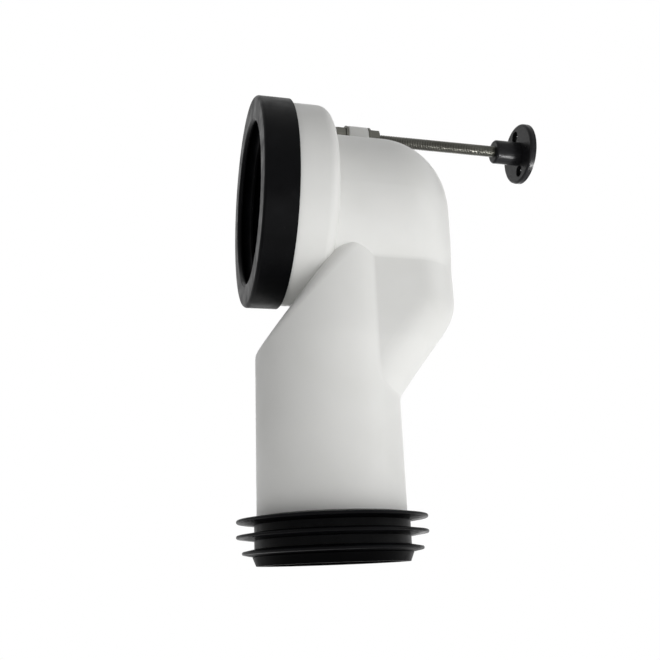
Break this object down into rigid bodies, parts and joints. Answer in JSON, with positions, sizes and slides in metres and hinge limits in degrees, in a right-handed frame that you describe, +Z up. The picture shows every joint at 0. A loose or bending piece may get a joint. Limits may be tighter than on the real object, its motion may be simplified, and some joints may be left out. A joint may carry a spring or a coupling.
{
  "type": "drain elbow",
  "caption": "Offset drain elbow for a toilet pan: hollow moulded bend with a lipped rubber inlet seal, a finned rubber outlet seal and a threaded wall stay that ends in a round screwed foot.",
  "frame": {"origin": "centre of the outlet seal's bottom rim, on the outlet pipe's axis", "axes": "+Z up the outlet pipe, -X out of the inlet towards the pan, +X along the wall stay towards the wall"},
  "size_m": [0.2121, 0.138, 0.3079],
  "materials": {
    "white_plastic": "white moulded polypropylene, satin",
    "black_rubber": "black moulded rubber, satin",
    "zinc_steel": "zinc plated, grey",
    "black_plastic": "black moulded plastic, satin"
  },
  "bodies": {
    "bend": {"bend_body": "white_plastic", "inlet_seal": "black_rubber", "outlet_seal": "black_rubber", "front_washer": "zinc_steel", "rear_washer": "zinc_steel"},
    "front_nut": {"front_nut": "zinc_steel"},
    "rear_nut": {"rear_nut": "zinc_steel"},
    "stay": {"stay_rod": "zinc_steel"},
    "foot": {"wall_foot": "black_plastic"}
  },
  "joints": [
    {"name": "stay_slide", "type": "slide", "parent": "bend", "child": "stay", "axis": [1, 0, 0], "range_m": [-0.006, 0.003]},
    {"name": "front_nut_turn", "type": "hinge", "parent": "bend", "child": "front_nut", "pos_m": [0.0151, 0, 0.2862], "axis": [-1, 0, 0], "range_deg": [-1740, 876]},
    {"name": "rear_nut_turn", "type": "hinge", "parent": "bend", "child": "rear_nut", "pos_m": [0.0396, 0, 0.2862], "axis": [-1, 0, 0], "range_deg": [-1740, 876]},
    {"name": "foot_turn", "type": "hinge", "parent": "stay", "child": "foot", "pos_m": [0.1435, 0, 0.2862], "axis": [1, 0, 0], "continuous": true}
  ],
  "couplings": [
    {"joint": "front_nut_turn", "follows": "stay_slide", "rad_per_m": 5026.5},
    {"joint": "rear_nut_turn", "follows": "stay_slide", "rad_per_m": 5026.5}
  ]
}
